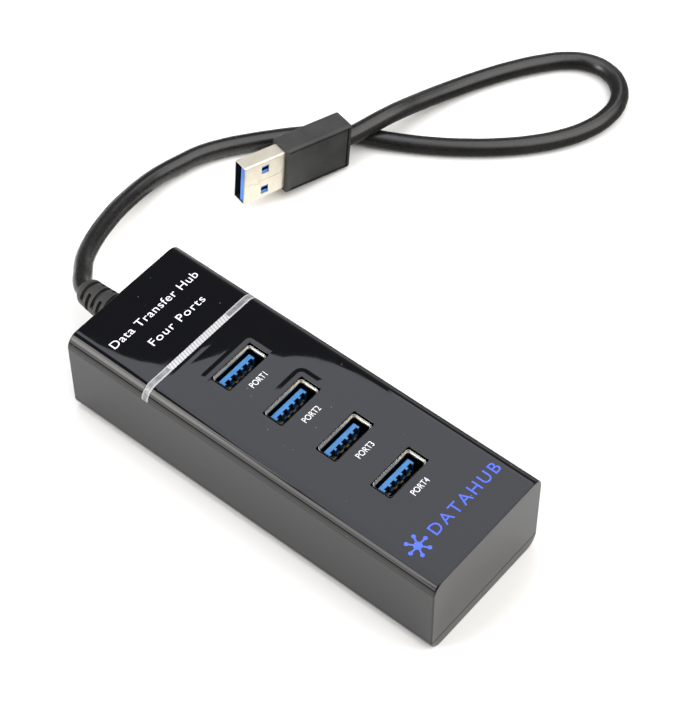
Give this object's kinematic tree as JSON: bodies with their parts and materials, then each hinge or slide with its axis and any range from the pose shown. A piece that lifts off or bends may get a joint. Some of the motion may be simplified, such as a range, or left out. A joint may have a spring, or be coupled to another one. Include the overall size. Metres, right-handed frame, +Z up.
{
  "type": "usb hub",
  "caption": "Slim rectangular data hub with upright sockets in its top, an inlaid light bar, and a short attached cable ending in a flat plug.",
  "frame": {"origin": "middle of the housing's underside", "axes": "+X along the housing away from the cable, +Y across it, +Z up out of the sockets"},
  "size_m": [0.1442, 0.1739, 0.0259],
  "materials": {
    "gloss_black": "piano-black moulded plastic, mirror gloss",
    "clear_guide": "clear moulded plastic with white ribs in the middle stretch",
    "board_green": "green solder mask",
    "chip_black": "moulded chip package",
    "steel": "plated sheet steel",
    "plug_metal": "nickel-plated sheet steel, satin",
    "contact_gold": "gold-plated spring contact",
    "led_white": "white diode package",
    "capacitor_can": "sleeved aluminium can",
    "socket_blue": "blue moulded insulator, satin",
    "wire_insulation": "coloured wire insulation",
    "relief_rubber": "soft black moulded strain relief",
    "overmold_grey": "dark moulded plug body, fine matte texture",
    "cable_black": "smooth satin black cable jacket"
  },
  "bodies": {
    "root": {"top_shell": "gloss_black", "bottom_cover": "gloss_black", "light_guide": "clear_guide", "circuit_board": "board_green", "hub_chip": "chip_black", "crystal": "steel", "voltage_regulator": "chip_black", "led1": "led_white", "led2": "led_white", "capacitor1": "capacitor_can", "capacitor2": "capacitor_can", "capacitor3": "capacitor_can", "board_screw1": "steel", "board_screw2": "steel", "port1_shell": "steel", "port1_insulator": "socket_blue", "port1_contact1": "contact_gold", "port1_contact2": "contact_gold", "port1_contact3": "contact_gold", "port1_contact4": "contact_gold", "port2_shell": "steel", "port2_insulator": "socket_blue", "port2_contact1": "contact_gold", "port2_contact2": "contact_gold", "port2_contact3": "contact_gold", "port2_contact4": "contact_gold", "port3_shell": "steel", "port3_insulator": "socket_blue", "port3_contact1": "contact_gold", "port3_contact2": "contact_gold", "port3_contact3": "contact_gold", "port3_contact4": "contact_gold", "port4_shell": "steel", "port4_insulator": "socket_blue", "port4_contact1": "contact_gold", "port4_contact2": "contact_gold", "port4_contact3": "contact_gold", "port4_contact4": "contact_gold", "strain_relief": "relief_rubber", "cable_stub": "cable_black", "wire1": "wire_insulation", "wire2": "wire_insulation", "wire3": "wire_insulation", "wire4": "wire_insulation", "wire5": "wire_insulation", "wire6": "wire_insulation", "wire7": "wire_insulation", "wire8": "wire_insulation", "wire9": "wire_insulation", "plug_shell": "plug_metal", "plug_insulator": "socket_blue", "plug_contact1": "contact_gold", "plug_contact2": "contact_gold", "plug_contact3": "contact_gold", "plug_contact4": "contact_gold", "plug_overmold": "overmold_grey", "cable": "cable_black"}
  },
  "joints": []
}
